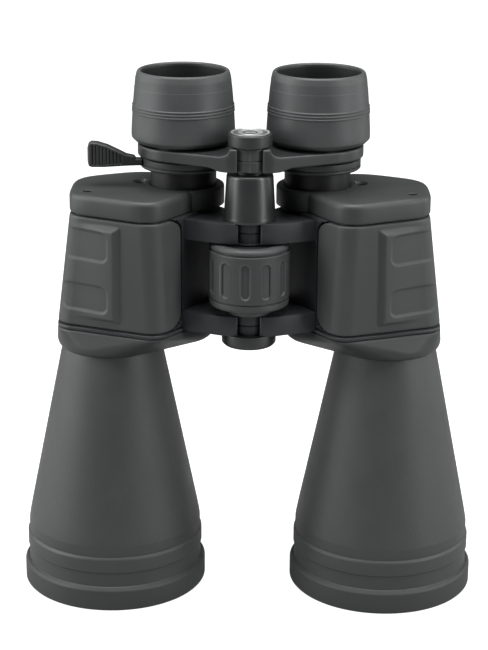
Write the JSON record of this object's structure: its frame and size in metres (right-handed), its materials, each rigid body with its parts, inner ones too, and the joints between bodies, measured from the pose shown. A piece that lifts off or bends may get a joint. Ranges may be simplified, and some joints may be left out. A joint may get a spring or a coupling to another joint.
{
  "type": "astronomy binoculars",
  "caption": "Large zoom Porro-prism binoculars with conical objective barrels, a centre focus wheel on the hinge, a sliding bridge, rubber eyecups and a side zoom lever.",
  "frame": {"origin": "middle of the footprint of the two objective rings, on the plane they stand on", "axes": "+Z along the optical axes from objectives to eyepieces, +X from the half with the zoom lever to the other half, -Y towards the side with the focus wheel"},
  "size_m": [0.1936, 0.0782, 0.222],
  "materials": {
    "housing_paint": "satin black paint on a die casting",
    "armor_rubber": "moulded matt dark grey rubber",
    "cover_paint": "satin dark grey paint",
    "screw_black": "blackened steel screw",
    "barrel_paint": "fine leather-grain dark grey paint on aluminium",
    "ring_rubber": "moulded matt rubber",
    "anodised_black": "matt black anodised",
    "coated_glass": "polished, coated",
    "prism_glass": "polished with ground sides",
    "sheet_steel": "plain sheet steel",
    "arm_paint": "satin black-grey paint",
    "zoom_plastic": "moulded black plastic",
    "bright_aluminium": "turned",
    "eyecup_rubber": "soft matt rubber",
    "steel": "ground",
    "washer_plastic": "plain",
    "sleeve_paint": "semi-gloss black paint",
    "brass": "turned",
    "hub_plastic": "moulded black plastic",
    "wheel_rubber": "moulded rubber grip",
    "disc_silver": "spun and clear-lacquered"
  },
  "bodies": {
    "left_half": {"left_prism_housing": "housing_paint", "left_armor": "armor_rubber", "left_eyepiece_cover": "cover_paint", "left_objective_cover": "cover_paint", "left_cover_screws": "screw_black", "left_barrel": "barrel_paint", "left_objective_ring": "ring_rubber", "left_lens_cell": "anodised_black", "left_lens_retainer": "anodised_black", "left_objective_lens": "coated_glass", "left_prism_shelf": "sheet_steel", "left_rear_prism": "prism_glass", "left_front_prism": "prism_glass", "left_prism_clips": "sheet_steel", "lower_hinge_pin": "steel", "upper_hinge_bush": "steel", "thrust_washers": "washer_plastic", "tapered_sleeve": "sleeve_paint", "end_boss": "sleeve_paint", "tripod_insert": "brass"},
    "right_half": {"right_prism_housing": "housing_paint", "right_armor": "armor_rubber", "right_eyepiece_cover": "cover_paint", "right_objective_cover": "cover_paint", "right_cover_screws": "screw_black", "right_barrel": "barrel_paint", "right_objective_ring": "ring_rubber", "right_lens_cell": "anodised_black", "right_lens_retainer": "anodised_black", "right_objective_lens": "coated_glass", "right_prism_shelf": "sheet_steel", "right_rear_prism": "prism_glass", "right_front_prism": "prism_glass", "right_prism_clips": "sheet_steel"},
    "focus_wheel": {"focus_wheel_hub": "hub_plastic", "focus_wheel_grip": "wheel_rubber"},
    "bridge": {"focus_post": "arm_paint", "bridge_cap": "hub_plastic", "cap_disc": "disc_silver", "left_bridge_arm": "arm_paint", "left_eyepiece_tube": "anodised_black", "left_ocular_sleeve": "bright_aluminium", "left_ocular_cell": "anodised_black", "left_eye_lens": "coated_glass", "left_eyecup": "eyecup_rubber"},
    "left_zoom": {"left_zoom_ring": "zoom_plastic", "zoom_lever": "zoom_plastic"},
    "left_zoom_group": {"left_zoom_cell": "anodised_black", "left_zoom_lens": "coated_glass"},
    "right_arm": {"right_bridge_arm": "arm_paint", "right_eyepiece_tube": "anodised_black"},
    "right_zoom": {"right_zoom_ring": "zoom_plastic"},
    "right_zoom_group": {"right_zoom_cell": "anodised_black", "right_zoom_lens": "coated_glass"},
    "dioptre_ring": {"right_ocular_sleeve": "bright_aluminium"},
    "right_ocular": {"right_ocular_cell": "anodised_black", "right_eye_lens": "coated_glass", "right_eyecup": "eyecup_rubber"}
  },
  "joints": [
    {"name": "ipd_hinge", "type": "hinge", "parent": "left_half", "child": "right_half", "pos_m": [0, -0.016, 0.12], "axis": [0, 0, -1], "range_deg": [-3, 50]},
    {"name": "focus_wheel_turn", "type": "hinge", "parent": "left_half", "child": "focus_wheel", "pos_m": [0, -0.016, 0.12], "axis": [0, 0, 1], "range_deg": [-90.5, 390.5]},
    {"name": "focus_slide", "type": "slide", "parent": "left_half", "child": "bridge", "axis": [0, 0, 1], "range_m": [-0.0015, 0.0065]},
    {"name": "right_arm_hinge", "type": "hinge", "parent": "bridge", "child": "right_arm", "pos_m": [0, -0.016, 0.12], "axis": [0, 0, -1], "range_deg": [-3.1, 50.1]},
    {"name": "zoom_lever_turn", "type": "hinge", "parent": "bridge", "child": "left_zoom", "pos_m": [-0.02765, 0.005, 0.18], "axis": [0, 0, 1], "range_deg": [0, 70]},
    {"name": "right_zoom_turn", "type": "hinge", "parent": "right_arm", "child": "right_zoom", "pos_m": [0.02765, 0.005, 0.18], "axis": [0, 0, 1], "range_deg": [-0.1, 70.1]},
    {"name": "left_zoom_group_slide", "type": "slide", "parent": "bridge", "child": "left_zoom_group", "axis": [0, 0, 1], "range_m": [-0.00001, 0.00901]},
    {"name": "right_zoom_group_slide", "type": "slide", "parent": "right_arm", "child": "right_zoom_group", "axis": [0, 0, 1], "range_m": [-0.00001, 0.00901]},
    {"name": "dioptre_turn", "type": "hinge", "parent": "right_arm", "child": "dioptre_ring", "pos_m": [0.02765, 0.005, 0.18], "axis": [0, 0, 1], "range_deg": [-90, 90]},
    {"name": "dioptre_slide", "type": "slide", "parent": "dioptre_ring", "child": "right_ocular", "axis": [0, 0, 1], "range_m": [-0.0009, 0.0009]}
  ],
  "couplings": [
    {"joint": "focus_wheel_turn", "follows": "focus_slide", "rad_per_m": 1047.2},
    {"joint": "right_arm_hinge", "follows": "ipd_hinge", "ratio": 1},
    {"joint": "right_zoom_turn", "follows": "zoom_lever_turn", "ratio": 1},
    {"joint": "left_zoom_group_slide", "follows": "zoom_lever_turn", "m_per_rad": 0.0073666},
    {"joint": "right_zoom_group_slide", "follows": "zoom_lever_turn", "m_per_rad": 0.0073666},
    {"joint": "dioptre_slide", "follows": "dioptre_turn", "m_per_rad": 0.00057296}
  ]
}
